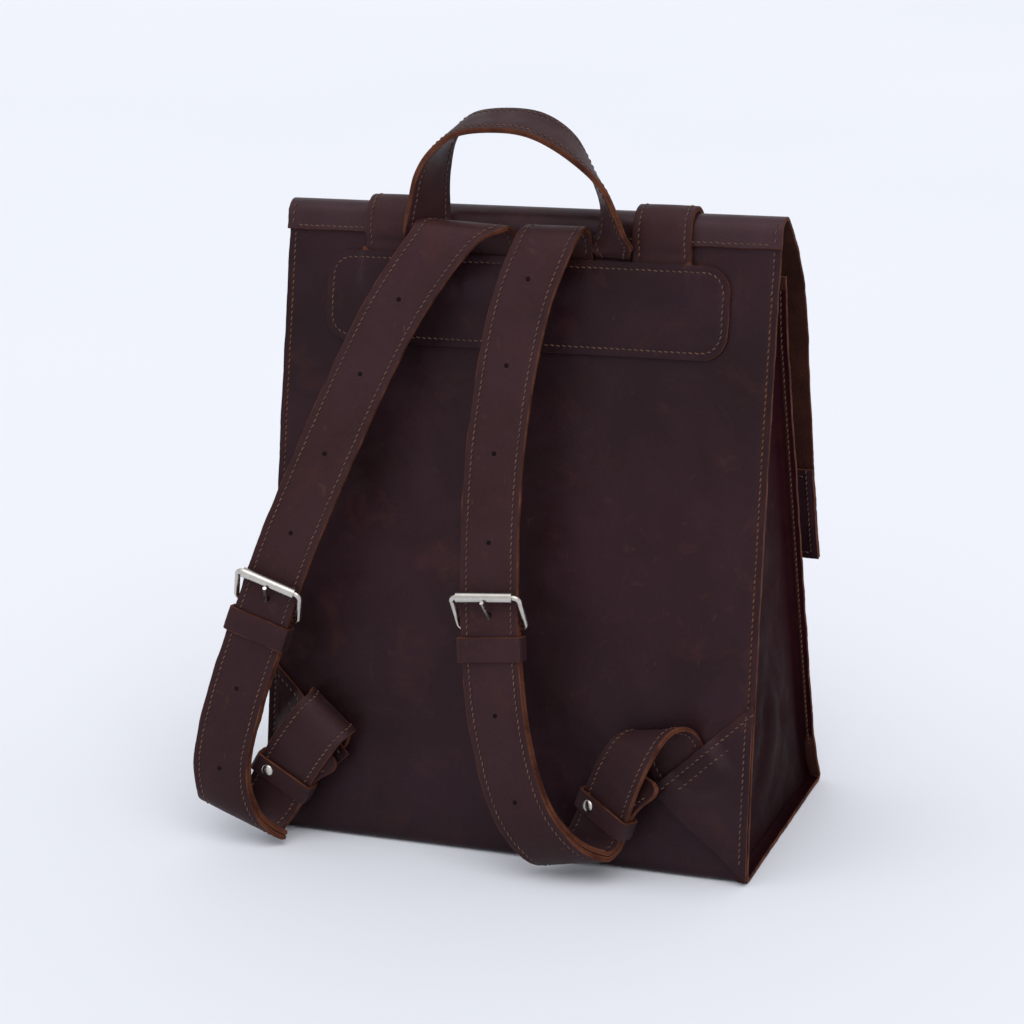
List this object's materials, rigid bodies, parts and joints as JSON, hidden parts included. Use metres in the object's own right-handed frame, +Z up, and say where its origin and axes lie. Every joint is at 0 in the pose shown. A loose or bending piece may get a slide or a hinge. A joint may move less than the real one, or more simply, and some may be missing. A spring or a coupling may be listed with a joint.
{
  "type": "leather backpack",
  "caption": "Leather backpack with a fold-over flap, buckled closure straps, adjustable shoulder straps and a top handle.",
  "frame": {"origin": "centre of the base, on the ground", "axes": "+Z up, +Y towards the back with the shoulder straps, -Y towards the front with the flap, +X towards the wearer's left"},
  "size_m": [0.3333, 0.2115, 0.4303],
  "materials": {
    "leather": "waxed pull-up leather, satin, lightly rubbed",
    "strap_leather": "waxed pull-up leather, satin, raw brown edges",
    "nickel": "polished nickel plate",
    "magnet": "brushed nickel"
  },
  "bodies": {
    "bag": {"body_wrap": "leather", "gusset_left": "leather", "gusset_right": "leather", "back_patch": "leather", "corner_patch_left": "leather", "corner_patch_right": "leather", "flap_fold": "leather", "closure_end_left": "strap_leather", "handle_end_left": "strap_leather", "strap_end_left": "strap_leather", "corner_strap_end_left": "strap_leather", "panel_magnet_left": "magnet", "closure_end_right": "strap_leather", "handle_end_right": "strap_leather", "strap_end_right": "strap_leather", "corner_strap_end_right": "strap_leather", "panel_magnet_right": "magnet"},
    "flap": {"flap": "leather", "flap_facing": "leather", "closure_strap_left": "strap_leather", "closure_tab_left": "strap_leather", "closure_keeper_left": "strap_leather", "closure_buckle_left_frame": "nickel", "tab_magnet_left": "magnet", "closure_strap_right": "strap_leather", "closure_tab_right": "strap_leather", "closure_keeper_right": "strap_leather", "closure_buckle_right_frame": "nickel", "tab_magnet_right": "magnet"},
    "handle": {"handle": "strap_leather"},
    "strap_left": {"shoulder_strap_left": "strap_leather", "lower_strap_left": "strap_leather", "shoulder_buckle_left_frame": "nickel", "fixed_keeper_left": "strap_leather", "sliding_keeper_left": "strap_leather", "keeper_rivet_left": "nickel"},
    "strap_roller_left": {"shoulder_buckle_left_roller": "nickel"},
    "strap_prong_left": {"shoulder_buckle_left_prong": "nickel"},
    "closure_roller_left": {"closure_buckle_left_roller": "nickel"},
    "closure_prong_left": {"closure_buckle_left_prong": "nickel"},
    "strap_right": {"shoulder_strap_right": "strap_leather", "lower_strap_right": "strap_leather", "shoulder_buckle_right_frame": "nickel", "fixed_keeper_right": "strap_leather", "sliding_keeper_right": "strap_leather", "keeper_rivet_right": "nickel"},
    "strap_roller_right": {"shoulder_buckle_right_roller": "nickel"},
    "strap_prong_right": {"shoulder_buckle_right_prong": "nickel"},
    "closure_roller_right": {"closure_buckle_right_roller": "nickel"},
    "closure_prong_right": {"closure_buckle_right_prong": "nickel"}
  },
  "joints": [
    {"name": "flap_hinge", "type": "hinge", "parent": "bag", "child": "flap", "pos_m": [0, 0.0015, 0.368], "axis": [-1, 0, 0], "range_deg": [-5, 130], "deforming": ["flap_fold", "closure_end_left", "closure_end_right"]},
    {"name": "handle_hinge", "type": "hinge", "parent": "bag", "child": "handle", "pos_m": [0, 0.021, 0.35], "axis": [-1, 0, 0], "range_deg": [-10, 18], "deforming": ["handle_end_left", "handle_end_right"]},
    {"name": "strap_swing_left", "type": "hinge", "parent": "bag", "child": "strap_left", "pos_m": [0.022, 0.022, 0.358], "axis": [-0.2809, -0.2107, 0.9363], "range_deg": [-3, 15], "deforming": ["strap_end_left", "corner_strap_end_left"]},
    {"name": "strap_roller_spin_left", "type": "hinge", "parent": "strap_left", "child": "strap_roller_left", "pos_m": [0.13071, 0.10749, 0.16416], "axis": [-0.9491, -0.0011, -0.3149], "continuous": true},
    {"name": "strap_prong_lift_left", "type": "hinge", "parent": "strap_left", "child": "strap_prong_left", "pos_m": [0.13722, 0.0983, 0.14457], "axis": [-0.9491, -0.0011, -0.3149], "range_deg": [0, 12]},
    {"name": "closure_roller_spin_left", "type": "hinge", "parent": "flap", "child": "closure_roller_left", "pos_m": [0.0824, -0.06771, 0.22911], "axis": [1, 0, 0], "continuous": true},
    {"name": "closure_prong_lift_left", "type": "hinge", "parent": "flap", "child": "closure_prong_left", "pos_m": [0.0824, -0.06556, 0.20661], "axis": [1, 0, 0], "range_deg": [0, 12]},
    {"name": "strap_swing_right", "type": "hinge", "parent": "bag", "child": "strap_right", "pos_m": [-0.024, 0.022, 0.358], "axis": [0.2576, -0.2136, 0.9424], "range_deg": [-3, 15], "deforming": ["strap_end_right", "corner_strap_end_right"]},
    {"name": "strap_roller_spin_right", "type": "hinge", "parent": "strap_right", "child": "strap_roller_right", "pos_m": [-0.00252, 0.10447, 0.16618], "axis": [-0.9972, -0.0083, 0.0741], "continuous": true},
    {"name": "strap_prong_lift_right", "type": "hinge", "parent": "strap_right", "child": "strap_prong_right", "pos_m": [-0.004, 0.09582, 0.14535], "axis": [-0.9972, -0.0083, 0.0741], "range_deg": [0, 12]},
    {"name": "closure_roller_spin_right", "type": "hinge", "parent": "flap", "child": "closure_roller_right", "pos_m": [-0.0824, -0.06771, 0.22911], "axis": [1, 0, 0], "continuous": true},
    {"name": "closure_prong_lift_right", "type": "hinge", "parent": "flap", "child": "closure_prong_right", "pos_m": [-0.0824, -0.06556, 0.20661], "axis": [1, 0, 0], "range_deg": [0, 12]}
  ]
}
